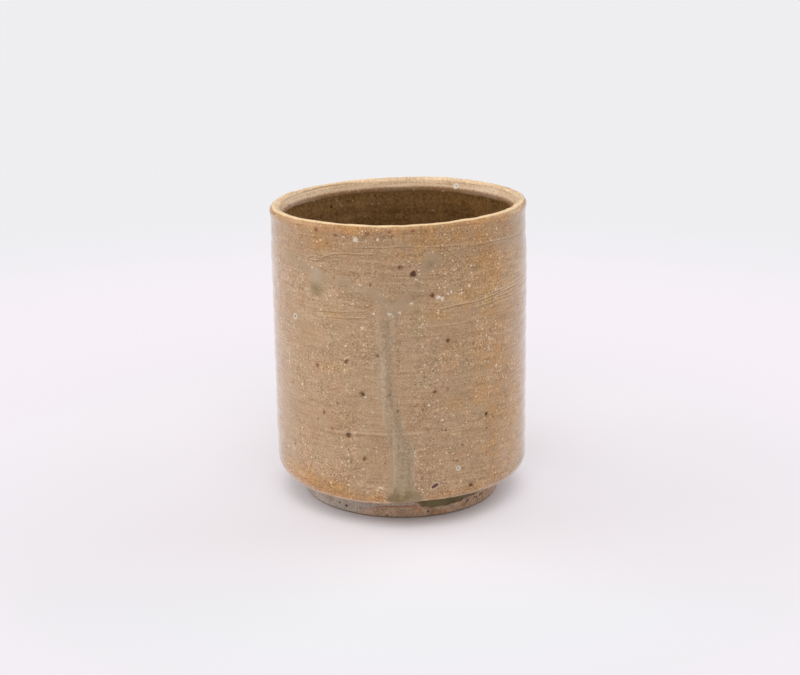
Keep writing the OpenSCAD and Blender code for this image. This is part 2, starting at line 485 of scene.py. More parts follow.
def olive_liner(tree):
    """Olive brown glaze, speckled with grit, and green where it is deep, with painted shade towards the
    right.
    """
    where = place(tree)
    bent = stirred(where, 0.7, 0.5)
    fine = clouds(where, 0.9, 3)
    depth = attribute(tree, "below_lip") + fine.swing(3)
    belts = clouds(drawn_out(where, 0.12, 1), 1.6, 3)
    tone = clouds(where, 6, 3) + fine.swing(1.7) + belts.swing(0.7)
    base = tint(tone, (0.13, 0.066, 0.022), (0.324, 0.179, 0.07))
    grit = grains(where, 1.1, 0.45, 0.05, 0.24, 0.06)
    base.lay(grit, (0.42, 0.28, 0.16), 0.55)
    grey = grains(bent, 3.4, 0.3, 0.08, 0.4, 0.15)
    base.lay(grey, (0.24, 0.16, 0.09), 0.5)
    dark = grains(bent, 2.2, 0.4, 0.06, 0.3, 0.1)
    base.lay(dark, (0.03, 0.016, 0.006), 0.8)
    pale = marks(where, liner_pale, inside_wall).rise(-0.12, 0.12)
    base.lay(pale, (0.5, 0.4, 0.29), 0.65)
    stain = marks(bent, liner_stains, inside_wall).rise(-0.6, 0.4)
    base.lay(stain, (0.16, 0.065, 0.015), 0.85)
    pits = marks(bent, liner_pits, inside_wall).rise(-0.12, 0.15)
    base.lay(pits, (0.008, 0.006, 0.005), 0.95)
    base.lay(depth.rise(1.6, 0), (0.13, 0.064, 0.02), 0.35)
    # painted shade: the right side of the inside darkened and warmed, where less light falls
    side = node(tree, "SeparateXYZ", {0: where})
    base.stain(side.rise(-20, 30), (0.74, 0.7, 0.62))
    base.lay(depth.rise(60, 71.5), (0.06, 0.06, 0.027), 0.8)
    fire(base, fine.rise(-0.4, 2.4), fine + grit * 0.3 - pits, 0.06, 0.04)


def length_along(section):
    """How far along a half section each of its points lies."""
    steps = np.linalg.norm(np.diff(section, axis=0), axis=1)
    return np.concatenate([[0], np.cumsum(steps)])


liner_section = inner_line(coat, 150, 26, 26)
below_lip = length_along(liner_section)
throw_pitch = 5.2
spiral = 2 * np.pi * (below_lip[:, None] / throw_pitch + azimuth / 360)
throwing = 0.06 * np.sin(spiral) + 0.03 * np.sin(2 * spiral + 1)
throwing *= (smooth(below_lip, 1, 6) * smooth(liner_section[:, 0], 2, 9))[:, None]
# The back of the coat lies on the clay
liner_back = turn(clay_inside[::-1])
liner_rings = np.concatenate([liner_back, turn(liner_section, throwing)])
liner_depth = np.concatenate([np.zeros(len(liner_back)), below_lip])
liner_depth = np.repeat(liner_depth[:, None], columns, axis=1)
piece("liner_glaze.poured", between_poles(liner_rings), capped_faces(len(liner_rings)), olive_liner,
      "liner_glaze", "liner_glaze", below_lip=between_poles(liner_depth))

# Outer glaze
# The sandy tan coat dipped outside, from under the lip to round the lower corner. Cream grains and iron
# specks of the clay show through it, it blushes orange where it is thin, and throwing lines ring the wall.
coat_radius = corner_radius + coat
ring_pitch = 7.6
ring_rise = 2 * ring_pitch
line_fade = 6
full_shade = 0.12

# Lines that the potter's fingers and tools left: azimuths and heights along each, depth, half width
wall_lines = [
    ([(13, 63.7), (24, 64.5), (37, 65), (49, 65.7), (61, 66.1), (78, 66.6)], 0.075, 0.19),
    ([(26, 63.2), (49, 63.7), (74, 64.2)], 0.06, 0.18),
    ([(33, 65.4), (49, 66.5), (76, 67.7)], 0.07, 0.18),
    ([(38, 64.4), (60, 65), (76, 65.3)], 0.06, 0.16),
    ([(36, 62.2), (56, 62.6), (76, 62.9)], 0.05, 0.16),
    ([(-22, 81.6), (1, 82.1), (18, 81.5), (32, 80.7), (49, 80.4), (72, 79.8)], 0.07, 0.18),
    ([(-47, 76.6), (-44, 76.9), (-39, 78.4), (-35, 77.9), (-29, 79.3), (-22, 79.9), (-6, 80.1)], 0.08, 0.18),
    ([(-45, 76.6), (-38, 77.1), (-31, 77.6)], 0.1, 0.18),
    ([(-36, 76.4), (-28, 77.6), (-20, 78.6)], 0.05, 0.18),
    ([(-42, 60.9), (-25.5, 61.6), (-9, 62.2)], 0.055, 0.2),
    ([(-42, 62.3), (-26, 63.3), (-11, 64)], 0.055, 0.2),
    ([(-36, 62), (-18, 62.9)], 0.04, 0.18),
    ([(-30, 60.1), (-10, 60.9)], 0.05, 0.2),
    ([(-34, 52), (-8, 52.4)], 0.05, 0.2),
    ([(8, 59.2), (34, 59.4)], 0.05, 0.18),
    ([(2, 56.7), (26, 56.8)], 0.05, 0.18),
    ([(-38, 27), (-23.5, 27.5), (-12, 27.8), (0, 27.9), (13, 28)], 0.055, 0.42),
    ([(14, 28.9), (34, 29.1)], 0.06, 0.18),
    ([(8, 74), (22, 74)], 0.06, 0.18),
    ([(80, 62), (150, 64.6)], 0.06, 0.2),
    ([(95, 60.8), (172, 63.4)], 0.05, 0.2),
    ([(110, 28), (175, 30)], 0.06, 0.22),
    ([(-170, 46), (-100, 48.5)], 0.05, 0.3),
    ([(-160, 77), (-90, 80.5)], 0.05, 0.2),
    ([(-140, 27), (-80, 29)], 0.05, 0.2),
    ([(-150, 62.6), (-100, 65.2)], 0.05, 0.2),
]


def line_marks(turned, height):
    """The drawn lines: a groove of a bell-shaped section along each, fading in and out over six degrees,
    with a low ridge thrown up above it. The second value is +1 on a ridge and -1 in a groove; it colours
    the ridges pale, partly thin glaze and partly painted highlight, and the grooves dark, partly pooled
    glaze and partly painted shade."""
    relief = np.zeros(np.broadcast(turned, height).shape)
    shade = np.zeros_like(relief)
    for path, depth, width in wall_lines:
        along, levels = np.array(path, float).T
        middle = np.interp(turned, along, levels)
        middle = middle + 0.08 * np.sin(np.radians(turned * 17 + levels[0] * 40))
        here = smooth(turned, along[0], along[0] + line_fade)
        here = here * (1 - smooth(turned, along[-1] - line_fade, along[-1]))
        groove = here * np.exp(-(((height - middle) / width) ** 2))
        ridge = here * np.exp(-(((height - middle - 2 * width) / width) ** 2))
        relief += depth * (0.6 * ridge - groove)
        shade += depth / full_shade * (ridge - groove)
    return relief, np.clip(shade, -1, 1)


def on_coat(turned, height, out=0.0):
    """A point of the outer coat before the cup settles: at a height on the wall, or round the lower corner
    below it, out from the coat's surface by a distance square to it."""
    below = np.clip((corner[1] - height) / coat_radius, 0, 1)
    radius = corner[0] + (coat_radius + out) * np.sqrt(1 - below**2)
    return round_axis(turned, height - out * below, radius)


def wall_relief(turned, height):
    """Unevenness of the outer coat: finger rings that rise round the wall in a spiral, slow swellings and
    the drawn lines, all fading out towards the lip and the lower edge."""
    spiral = 2 * np.pi * (height - ring_rise * turned / 360) / ring_pitch
    rings = 0.04 * np.sin(spiral) + 0.025 * np.sin(2 * spiral + 1)
    points = on_coat(turned, height)
    swell = 0.05 * waves(points, 17, 3) + 0.025 * waves(points, 6, 4) + 0.014 * waves(points, 2.6, 6)
    fade = smooth(height, 7, 12) * (1 - smooth(height, 83.5, 86))
    return (rings + swell + line_marks(turned, height)[0]) * fade


# Patches of orange where the glaze is thin: azimuth, height, their spreads and the strength
orange_patches = [
    (-38, 82.5, 10, 3.2, 0.65), (-20, 86, 30, 2, 0.4), (40, 73, 10, 7.5, 0.55), (40, 84, 24, 3.4, 0.5),
    (45, 50, 18, 26, 0.56), (60, 72, 10, 10, 0.2), (-30, 47, 10, 2.2, 0.45), (-14, 44.5, 6, 3, 0.15),
    (-27, 63, 11, 2.2, 0.5), (12, 63, 10, 2, 0.4), (8, 82, 24, 5, 0.45), (25, 68, 20, 8, 0.3),
    (50, 20, 20, 16, 0.3), (-50, 11, 16, 5, 0.8), (-30, 9.5, 14, 3.2, 0.9), (-12, 9, 8, 2, 0.35),
    (30, 9, 26, 2.6, 0.6), (20, 50, 9, 5, 0.3), (-16, 56, 8, 4, 0.3), (26, 36, 12, 6, 0.3),
    (64, 30, 10, 16, 0.4), (120, 60, 30, 18, 0.6), (178, 18, 40, 10, 0.7), (-140, 70, 32, 14, 0.7),
    (-100, 40, 24, 18, 0.4), (150, 82, 50, 4, 0.7), (-120, 12, 40, 6, 0.6),
]
# Patches where ash has melted over the coat, in the same terms
ash_patches = [
    (14, 78.5, 5, 2.6, 0.4), (-38, 72.5, 3.6, 3.4, 0.5), (-24, 72, 3, 2, 0.3), (-2, 65, 5, 2.6, 0.2),
    (-62, 75, 8, 10, 0.25), (1.2, 9.6, 10, 2.8, 0.6), (105, 74, 12, 8, 0.5), (-165, 60, 16, 12, 0.5),
    (-95, 66, 12, 10, 0.4),
]
# Faint trails of ash above and beside the long run: azimuths and heights along each, reach, strength
ash_trails = [
    ([(-57, 77.5), (-46, 75.5), (-37, 73), (-23, 71.3), (-11, 69.5), (-6, 65.3)], 2, 0.66),
    ([(66, 79.2), (46, 80), (28, 79.2), (18, 77.4), (12, 76.1), (5.6, 70.8), (0.5, 66), (-3, 62)],
     1.9, 0.55),
    ([(-6, 66), (-5.5, 60)], 3, 0.3),
    ([(-2.5, 30), (-2.2, 22), (-1.4, 15), (0.8, 9)], 3.6, 0.65),
]


def trail_cover(path, reach, turned, height):
    """How strongly a trail covers a point: a bell of the distance to the nearest stretch of its path, on the
    unrolled wall."""
    round_wall = np.radians(1) * (wall_radius + coat)
    x, z = np.broadcast_arrays(turned * round_wall, height)
    nearest = np.full(x.shape, np.inf)
    points = np.array(path, float) * [round_wall, 1]
    for start, end in zip(points[:-1], points[1:]):
        step = end - start
        share = np.clip(((x - start[0]) * step[0] + (z - start[1]) * step[1]) / (step @ step), 0, 1)
        away = np.hypot(x - start[0] - share * step[0], z - start[1] - share * step[1])
        nearest = np.minimum(nearest, away)
    return np.exp(-((nearest / reach) ** 2))


def zone(patches, trails, turned, height, seed):
    """How strongly patches and trails cover a point: the sum of their bells, made ragged."""
    total = np.zeros(np.broadcast(turned, height).shape)
    for middle, level, spread, tall, amount in patches:
        across = (turned - middle + 180) % 360 - 180
        total += amount * np.exp(-((across / spread) ** 2) - ((height - level) / tall) ** 2)
    for path, reach, amount in trails:
        total += amount * trail_cover(path, reach, turned, height)
    ragged = waves(on_coat(turned, height), 7, seed)
    return np.clip(total * (1 + 0.4 * ragged), 0, 1)


# Marks in the glaze: azimuth, height and radius
iron_marks = [
    (6.1, 74.5, 0.8), (0.7, 76.7, 0.38), (20.5, 55, 0.5), (-16.2, 40.2, 0.6), (-23.2, 27.6, 0.75),
    (14.6, 40.7, 0.4), (-9.4, 51.6, 0.5), (-15.9, 21, 0.38), (31.9, 11.2, 0.45), (-12, 71.7, 0.26),
    (13.8, 68.3, 0.35), (-23.4, 49.2, 0.3), (-27.3, 85, 0.22), (110, 50, 0.8), (150, 68, 0.6),
    (-130, 56, 0.7), (-105, 30, 0.6), (170, 38, 0.7), (95, 22, 0.5), (-160, 78, 0.5),
]
brown_marks = [
    (-28.4, 73, 0.4), (-38.4, 69.1, 0.35), (48.1, 66.3, 0.4), (41.8, 55.9, 0.36), (-0.1, 55.4, 0.4),
    (29.4, 49, 0.42), (10.3, 45.1, 0.4), (12.8, 42.8, 0.4), (33.5, 32.5, 0.36), (44.5, 30.2, 0.36),
    (-1.3, 35.6, 0.4), (17.6, 29.3, 0.42), (19.5, 29.2, 0.38), (27.4, 23.9, 0.4), (-27.9, 36.7, 0.36),
    (-38.8, 30.9, 0.36), (63.3, 74.8, 0.4), (33, 53, 0.4), (36, 55.5, 0.42), (-4.6, 40.6, 0.36),
    (20.4, 41.1, 0.5), (16.2, 74.1, 0.5), (-22, 19.5, 0.4), (28, 16.8, 0.4), (9, 15.5, 0.36),
    (-30, 56, 0.36), (100, 40, 0.5),
]
black_marks = [(40.2, 31.5, 0.6), (64.7, 59.7, 0.4), (-150, 40, 0.6)]
rust_marks = [
    (14, 68.2, 0.75), (-38.5, 46.8, 0.5), (-23.6, 49.1, 0.55), (-55.3, 39.3, 0.4), (-35.3, 33.2, 0.5),
    (-31.3, 28.3, 0.36), (-55.3, 20.4, 0.45), (-36.8, 86, 0.5), (-2.4, 85.4, 0.4), (-12.5, 85.9, 0.45),
    (-3.4, 86.6, 0.32), (6.2, 86.6, 0.3), (15.6, 86.5, 0.3), (-45.7, 83.5, 0.3), (49, 86, 0.3),
    (68, 83.4, 0.32), (140, 40, 0.6), (-85, 70, 0.6),
]
white_marks = [
    (-18, 84.2, 0.85), (-8.3, 84.5, 0.45), (21, 68.3, 0.36), (22.2, 68.7, 0.34), (26.3, 67.9, 0.38),
    (27.5, 68.2, 0.38), (16.1, 63.5, 0.45), (-48.3, 39.8, 0.45), (11.9, 37, 0.45), (18, 32.1, 0.42),
    (5.7, 23.1, 0.42), (6, 22, 0.36), (7.3, 73, 0.5), (16.6, 67.6, 0.55), (18.2, 67.2, 0.5),
    (-4.1, 63.6, 0.6), (-3, 62.8, 0.42), (0.1, 63.9, 0.46), (-11.2, 63.7, 0.46), (-16.1, 59.1, 0.4),
    (-20.7, 66, 0.34), (5.1, 66.3, 0.46), (31.4, 69.4, 0.4), (31.2, 70, 0.4), (-23.6, 84.7, 0.4),
    (-39.9, 75.1, 0.34), (9.2, 59.9, 0.36), (11.7, 60.1, 0.36), (3.8, 60.1, 0.34), (-15.2, 39.4, 0.45),
    (-8, 12.3, 0.5), (-9.5, 12.6, 0.4), (26.4, 13.2, 0.4), (46.5, 45, 0.5), (-17, 18, 0.4),
    (100, 66, 0.7), (-120, 64, 0.6), (160, 52, 0.6),
]
ring_marks = [(-51.9, 59.6, 0.72), (25.4, 17.1, 0.58)]
stone_marks = [(13.6, 12.5, 0.5), (14.5, 12.8, 0.64), (15.4, 13.1, 0.5)]


def sandy_layers(tree):
    """The sandy glaze, layer on layer: its colour, its height for the bump and its roughness."""
    where = place(tree)
    bent = stirred(where, 0.7, 0.6)
    torn = stirred(where, 1.1, 1.5)
    level = attribute(tree, "level")
    line = attribute(tree, "line")
    fine = clouds(where, 0.5, 3)
    freckle = clouds(where, 2.4, 3)
    streak = clouds(drawn_out(where, 0.08, 1), 0.7, 2)
    melted = (attribute(tree, "ash") + freckle.swing(0.5)).rise(0.15, 0.9)
    crowded = clouds(where, 13, 3).rise(0.34, 0.66)
    busy = level.rise(60, 70) * level.rise(84, 74) + level.rise(22, 10)
    patchy = (attribute(tree, "blush") + freckle.swing(0.8)).rise(0.1, 1)
    gritty = crowded * 0.7 + 0.55 + busy * 0.22 - melted * 0.4 + patchy * 0.3

    tone = fine.swing(2.1) + streak.swing(1.05) * (1.4 - crowded) + freckle.swing(0.7)
    tone = tone * gritty + clouds(where, 9).swing(0.3)
    base = tint(tone + 0.5, (0.287, 0.176, 0.089), (0.55, 0.375, 0.231))
    base.stain(patchy, (1.05, 0.9, 0.64))
    pinker = clouds(where, 6, 3).rise(0.4, 0.62)
    base.stain(pinker, (1.01, 0.957, 0.935))
    greener = clouds(bent, 7, 3).rise(0.5, 0.7)
    base.stain(greener, (0.975, 0.98, 0.935))
    base.lay(melted, (0.385, 0.272, 0.168), 0.7)

    rusty = grains(torn, 1.6, 0.34, 0.06, 0.26, 0.1)
    base.lay(rusty * gritty, (0.4, 0.19, 0.065), 0.55)
    dim = grains(bent, 1.1, 0.4, 0.05, 0.18, 0.07)
    base.lay(dim * gritty, (0.15, 0.078, 0.03), 0.66)
    pale = grains(bent, 0.9, gritty * 0.44, 0.06, 0.22, 0.06)
    base.lay(pale * gritty, (0.8, 0.63, 0.43), 0.64)
    coarse = grains(torn, 2.8, gritty * 0.36, 0.1, 0.26, 0.12) * level.rise(86, 72)
    base.lay(coarse * gritty, (0.8, 0.67, 0.51), 0.62)
    specks = grains(bent, 2.6, 0.45, 0.06, 0.28, 0.1)
    base.lay(specks, (0.14, 0.066, 0.024), 0.7)

    white = marks(torn, white_marks, on_coat).rise(-0.15, 0.3) * fine.rise(0.25, 0.6)
    base.lay(white, (0.85, 0.75, 0.64), 0.85)
    rust = marks(torn, rust_marks, on_coat).rise(-0.5, 0.4)
    base.lay(rust, (0.2, 0.05, 0.016), 0.8)
    brown = marks(torn, brown_marks, on_coat).rise(-0.3, 0.2)
    base.lay(brown, (0.15, 0.082, 0.034), 0.6)
    halo = marks(torn, iron_marks, on_coat)
    base.lay(halo.rise(-0.7, 0), (0.24, 0.125, 0.05), 0.55)
    iron = halo.rise(-0.35, 0.3)
    base.lay(iron, (0.072, 0.025, 0.006), 0.94)
    black = marks(bent, black_marks, on_coat).rise(-0.15, 0.2)
    base.lay(black, (0.016, 0.018, 0.018), 0.95)
    ring = marks(stirred(where, 0.7, 0.7), ring_marks, on_coat)
    base.lay(ring.rise(-0.4, 0.1), (0.68, 0.6, 0.51), 0.8)
    base.lay(ring.rise(0.12, 0.36), (0.15, 0.12, 0.12), 0.8)
    stone = marks(where, stone_marks, on_coat)
    base.lay(stone.rise(-0.4, -0.1), (0.66, 0.5, 0.4), 0.6)
    base.lay(stone.rise(-0.08, 0.12), (0.1, 0.034, 0.026), 0.93)

    # pale on ridges and dark in grooves: partly glaze thin and pooled, partly painted highlight and painted
    # shade
    base.lay(line.rise(0.05, 0.7), (0.68, 0.5, 0.31), 0.55)
    base.lay(line.rise(-0.05, -0.7), (0.2, 0.11, 0.045), 0.6)
    wander = level + freckle.swing(2.4)
    base.stain(wander.rise(70, 80), (0.915, 0.89, 0.86))
    base.stain(wander.rise(84, 86.8), (1.08, 1.01, 0.92))
    base.stain(wander.rise(11, 7.5), (1.2, 1.03, 0.78), 0.8)
    thin = (level + fine.swing(1.2)).rise(7.8, 7.1) * freckle.rise(0.28, 0.56)
    base.lay(thin, (0.8, 0.6, 0.39), 0.8)

    dark = iron + black
    height = (fine + (pale + coarse) * 0.3) * gritty - dark * 0.7
    return base, height, fine.swing(0.25) + dark * 0.25 + 0.24


def sandy_glaze(tree):
    """The sandy glaze alone, under a glassy skin."""
    base, height, gloss = sandy_layers(tree)
    fire(base, gloss, height, 0.07, 0.06, 1)


def coat_values(turned, height):
    """The attributes that the sandy glaze reads, for points at these azimuths and heights on the wall."""
    return {
        "blush": zone(orange_patches, [], turned, height, 21),
        "ash": zone(ash_patches, ash_trails, turned, height, 22),
        "line": line_marks(turned, height)[1],
        "level": np.broadcast_arrays(height, turned)[0],
    }


corner_rows, coat_rows, back_step = 18, 210, 28
coat_low = corner[1] - coat_radius * np.sin(np.radians(np.linspace(coat_end, 0, corner_rows)))
# Rows lie closer where the drawn lines are: the middle and half height of each belt, and how much closer
line_belts = [(65, 4, 2), (79.3, 3.2, 1.2), (28.7, 1.9, 1.2)]
trial = np.linspace(corner[1], crest[1], 2000)
crowd = 1 + sum(closer * (np.abs(trial - middle) < half) for middle, half, closer in line_belts)
spent = np.concatenate([[0], np.cumsum(crowd[1:])])
coat_high = np.interp(np.linspace(0, spent[-1], coat_rows)[1:], spent, trial)
coat_heights = np.concatenate([coat_low, coat_high])
outer_height = coat_heights[:, None]
inner_height = np.append(coat_heights[::-back_step], coat_low[0])[:, None]
outer_front = settle(on_coat(azimuth, outer_height, wall_relief(azimuth, outer_height)))
outer_back = settle(on_coat(azimuth, inner_height, -coat))
outer_points = np.concatenate([outer_front, outer_back])
all_heights = np.concatenate([outer_height, inner_height])
piece("outer_glaze.dipped", outer_points, closed_faces(len(all_heights)), sandy_glaze,
      "outer_glaze", "sandy_glaze", **coat_values(azimuth, all_heights))

# Lip glaze
# The band where the two coats lap over the rounded lip. It is thin there, so it fires pale and orange, and
# a shallow finger groove runs round its inner slope. Its colour carries painted highlights along the crest
# and the inner roll, and painted shade in the groove.

# White spots on the slope: azimuth, height and radius
lip_spots = [(148.3, 85.9, 0.85), (60, 86.2, 0.6)]
# Points of that slope, before the cup settles
on_slope = partial(round_axis, radius=crest[0] - lip_radius - coat)


def thin_lip_glaze(tree):
    """The sandy glaze outside, a pale band over the lip with painted highlights along its crest and inner
    roll and painted shade in its finger groove, and liner glaze below the slope.
    """
    base, height, gloss = sandy_layers(tree)
    where = place(tree)
    freckle = clouds(where, 2, 4)
    fine = clouds(where, 0.6, 3)
    across = attribute(tree, "across") + freckle.swing(0.08)
    streak = clouds(drawn_out(where, 0.08, 1), 0.8, 2)
    tone = fine.swing(1.9) + (streak.swing(1.6) + 0.55)
    pale = tint(tone, (0.48, 0.31, 0.165), (0.93, 0.69, 0.46))
    base.lay(across.rise(0.2, 0.3), pale, 0.9)
    # painted highlight: a narrow bright line along the crest
    painted_crest_highlight = across.rise(0.17, 0.22) * across.rise(0.36, 0.27)
    base.lay(painted_crest_highlight, (0.86, 0.63, 0.36), 0.8)
    # painted shade: the finger groove darkened
    base.lay(attribute(tree, "groove"), (0.27, 0.175, 0.095), 0.7)
    inner = attribute(tree, "across") + fine.swing(0.2)
    # painted highlight: a pale line along the inner roll, above the dark liner
    ridge = inner.rise(0.64, 0.72) * inner.rise(0.82, 0.76)
    base.lay(ridge, (0.76, 0.56, 0.4), 0.5)
    base.lay(inner.rise(0.73, 0.86), (0.24, 0.125, 0.053), 0.96)
    base.lay(inner.rise(0.84, 1), (0.12, 0.06, 0.02), 0.9)
    grit = grains(where, 0.9, 0.5, 0.05, 0.24, 0.06) * inner.rise(0.7, 0.85)
    base.lay(grit, (0.5, 0.35, 0.21), 0.5)
    spot = marks(stirred(where, 0.8, 0.6), lip_spots, on_slope)
    base.lay(spot.rise(-0.35, 0.3), (0.82, 0.76, 0.7), 0.8)
    base.lay(spot.rise(0.52, 0.66), (0.1, 0.08, 0.07), 0.85)
    specks = grains(where, 1.7, 0.35, 0.05, 0.22, 0.09)
    base.lay(specks, (0.2, 0.075, 0.025), 0.65)
    fire(base, gloss, height, 0.07, 0.06, 0.3)


lip_section = lip_line(coat, 56)
lip_across = length_along(lip_section)
lip_across /= lip_across[-1]
lip_plain = turn(lip_section)
lip_uneven = 0.06 * waves(lip_plain, 7, 31) + 0.03 * waves(lip_plain, 2.5, 32)
lip_uneven *= (smooth(lip_across, 0, 0.12) * (1 - smooth(lip_across, 0.88, 1)))[:, None]
deep_end = np.exp(-(((azimuth + 138) / 14) ** 2))
groove_at = 0.57 - 0.08 * deep_end
groove_strength = 0.35 + 0.65 * deep_end + 0.25 * np.sin(np.radians(azimuth * 3 + 90))
lip_groove = np.exp(-(((lip_across[:, None] - groove_at) / 0.04) ** 2)) * groove_strength
lip_front = turn(lip_section, lip_uneven - 0.14 * lip_groove)
lip_back = turn(clay_lip[::-1])
lip_points = np.concatenate([lip_front, lip_back])
back_across = np.linspace(1, 0, len(lip_back))
lip_all = np.concatenate([lip_across, back_across])[:, None]
lip_levels = np.concatenate([np.maximum(lip_section[:, 1], crest[1]), np.full(len(lip_back), crest[1])])
lip_values = coat_values(azimuth, np.full((len(lip_all), 1), crest[1]))
lip_values["level"] = np.repeat(lip_levels, columns)
groove_values = np.concatenate([lip_groove, np.zeros((len(lip_back), columns))])
piece("lip_glaze.lapped", lip_points, closed_faces(len(lip_all)), thin_lip_glaze, "lip_glaze", "lip_glaze",
      across=np.repeat(lip_all, columns), groove=groove_values, **lip_values)

# Ash run
# Wood ash that melted near the lip and ran down the front in one long trail, then gathered in a pool at
# the lower edge. It is smooth grey-green glass, thickest in its middle, that melts into the coat.
run_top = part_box("ash_run")[1].z / mm
# From bottom to top: share of the length, sideways place, half width and thickness in the middle
run_stations = np.array([
    [0, 1.3, 5.6, 0.38], [0.045, 1.2, 6.2, 0.45], [0.072, 0.8, 4.9, 0.43],
    [0.1, 0.8, 3.5, 0.38], [0.15, 0.8, 3.2, 0.36],
    [0.23, 0.8, 3.2, 0.33], [0.3, 0.3, 3.7, 0.31], [0.38, -1.2, 3.3, 0.3], [0.5, -3.2, 3, 0.27],
    [0.65, -4.2, 3.2, 0.25], [0.76, -4.2, 3.3, 0.22], [0.86, -3.8, 3.5, 0.2], [0.95, -3.3, 3.6, 0.15],
    [1, -3.2, 2.6, 0.1],
])
run_rows, run_columns = 240, 30
glass_sink, edge_sink = 0.12, 0.015
# Dark lobes of the pool: azimuth, height and radius
pool_marks = [(-4.7, 11.3, 1.6), (-3.2, 9.6, 1.5)]
# A painted highlight down the middle of it, in the same terms
pool_highlight = [(0.3, 14.6, 0.4), (0.4, 13.4, 0.5), (0.5, 12.2, 0.5), (0.6, 11, 0.4)]
# Iron specks that came up through it
run_specks = [(-9.4, 51.6, 0.5), (-11.5, 53.5, 0.35), (-4.6, 40.3, 0.42), (-1.3, 35.6, 0.36)]


def melted_ash(tree):
    """The sandy glaze, and grey-green ash over it where the run is deep, with painted highlights down its
    pool and along its lower edges.
    """
    base, height, gloss = sandy_layers(tree)
    where = place(tree)
    level = attribute(tree, "level")
    freckle = clouds(where, 3.4, 4)
    wander = attribute(tree, "depth") + freckle.swing(1.4)
    melted = wander.rise(-0.3, 0.8)
    streak = clouds(drawn_out(where, 1, 0.06), 2.2, 2)
    fine = clouds(where, 0.6, 3)
    tone = streak.rise(0.3, 0.7) + fine.swing(2.2) + freckle.swing(1)
    ash = tint(tone, (0.315, 0.215, 0.131), (0.463, 0.336, 0.225))
    low = level.rise(40, 15)
    ash.stain(low, (0.81, 0.825, 0.785))
    side = attribute(tree, "side")
    pooled = level.rise(14.5, 9.5) * wander.rise(0.1, 0.6) * side.rise(1.1, 0.2)
    gathered_in = tint(freckle.rise(0.4, 0.62), (0.3, 0.22, 0.115), (0.17, 0.12, 0.045))
    ash.lay(pooled, gathered_in, 0.95)
    dark_pool = marks(stirred(where, 2, 2.4), pool_marks, on_coat).rise(-0.6, 0.5)
    ash.lay(dark_pool, (0.165, 0.118, 0.05), 0.75)
    # painted highlight down the middle of the pool
    clear = marks(stirred(where, 2, 1), pool_highlight, on_coat).rise(-0.6, 0.3)
    ash.lay(clear, (0.42, 0.33, 0.2), 0.6)
    strand = calc("ABSOLUTE", side - 0.25).rise(0.3, 0.05) * level.rise(22, 34)
    ash.stain(strand, (0.8, 0.79, 0.76), 0.4)
    ash.stain(fine.rise(0.5, 0.64), (1.08, 1.075, 1.06))
    ash.stain(fine.rise(0.5, 0.36), (0.93, 0.925, 0.9))
    base.lay(melted * (0.85 - level.rise(60, 66) * 0.45), ash)
    specks = marks(stirred(where, 1.1, 1.5), run_specks, on_coat).rise(-0.4, 0.3)
    base.lay(specks, (0.12, 0.065, 0.025), 0.75)
    # painted highlight: a pale rim along the run's edges, in its lower part
    edge = wander.rise(0, 0.12) * wander.rise(0.45, 0.15) * streak.rise(0.4, 0.62)
    base.lay(edge * low, (0.58, 0.45, 0.34), 0.35)
    fire(base, gloss - melted * 0.04, height * (1 - melted * 0.5), 0.07, 0.06, 1)


def tube_faces(rows, around):
    """Faces of a tube of rings of points, with a flat face at each end."""
    starts = np.arange(rows) * around
    ends = [list(range(around))[::-1], list(range(starts[-1], rows * around))]
    return bands(starts, around) + ends


def melted_strip(sideways, height, half_width, thickness):
    """A flattened drop of glass along a path on the outer coat: each cross-section is a bell above, level
    with the coat at its edges, and a shallow one below that sinks into the coat.
    Gives the points, faces, azimuths, heights, the share of full depth at each point, and its place across
    from -1 to 1."""
    across = np.linspace(-1, 1, run_columns)
    loop = np.concatenate([across, across[-2:0:-1]])
    upper = np.arange(len(loop)) < run_columns
    swell = (1 - loop**2) ** 1.6
    x = sideways[:, None] + half_width[:, None] * loop
    turned = np.degrees(x / (wall_radius + coat))
    level = np.broadcast_to(height[:, None], x.shape)
    ground = wall_relief(turned, level)
    out = ground + np.where(upper, thickness[:, None] * swell, -glass_sink * swell) - edge_sink
    points = settle(on_coat(turned, level, out))
    rows, around = x.shape
    depth = np.where(upper, 1 - loop**2, 0) * np.minimum(1, thickness / thickness.mean())[:, None]
    return points.reshape(-1, 3), tube_faces(rows, around), turned, level, depth, np.tile(loop, rows)


def bow(stations, share):
    """A smooth value along stations: a cubic through each pair, with the slope of their neighbours."""
    at, values = stations[:, 0], stations[:, 1:]
    slope = np.gradient(values, at, axis=0)
    i = np.clip(np.searchsorted(at, share, side="right") - 1, 0, len(at) - 2)
    gap = (at[i + 1] - at[i])[:, None]
    t = (share[:, None] - at[i][:, None]) / gap
    return ((2 * t**3 - 3 * t**2 + 1) * values[i] + (t**3 - 2 * t**2 + t) * gap * slope[i]
            + (3 * t**2 - 2 * t**3) * values[i + 1] + (t**3 - t**2) * gap * slope[i + 1])


share = np.linspace(0, 1, run_rows)
run_side, run_half, run_thick = bow(run_stations, share).T
run_low = coat_low[0] + 0.15
run_heights = run_low + (run_top - run_low) * share
run_half = run_half + 0.15 * np.sin(share * 61) + 0.1 * np.sin(share * 143 + 1)
tip = np.sqrt(np.clip(1 - ((share - 0.95) / 0.05).clip(0) ** 2, 0.0004, 1))
run_points, run_faces, run_turned, run_level, run_depth, run_across = melted_strip(
    run_side, run_heights, run_half * tip, run_thick * tip)
piece("ash_run.trail", run_points, run_faces, melted_ash, "ash_run", "ash_glaze",
      depth=run_depth, side=run_across, **coat_values(run_turned, run_level))

# Ash drips
# Drops of the same ash that melted near the lip and stayed there, one longer one on the left and smaller
# ones beside the top of the run. They are thin, with soft edges, and olive where they gathered.

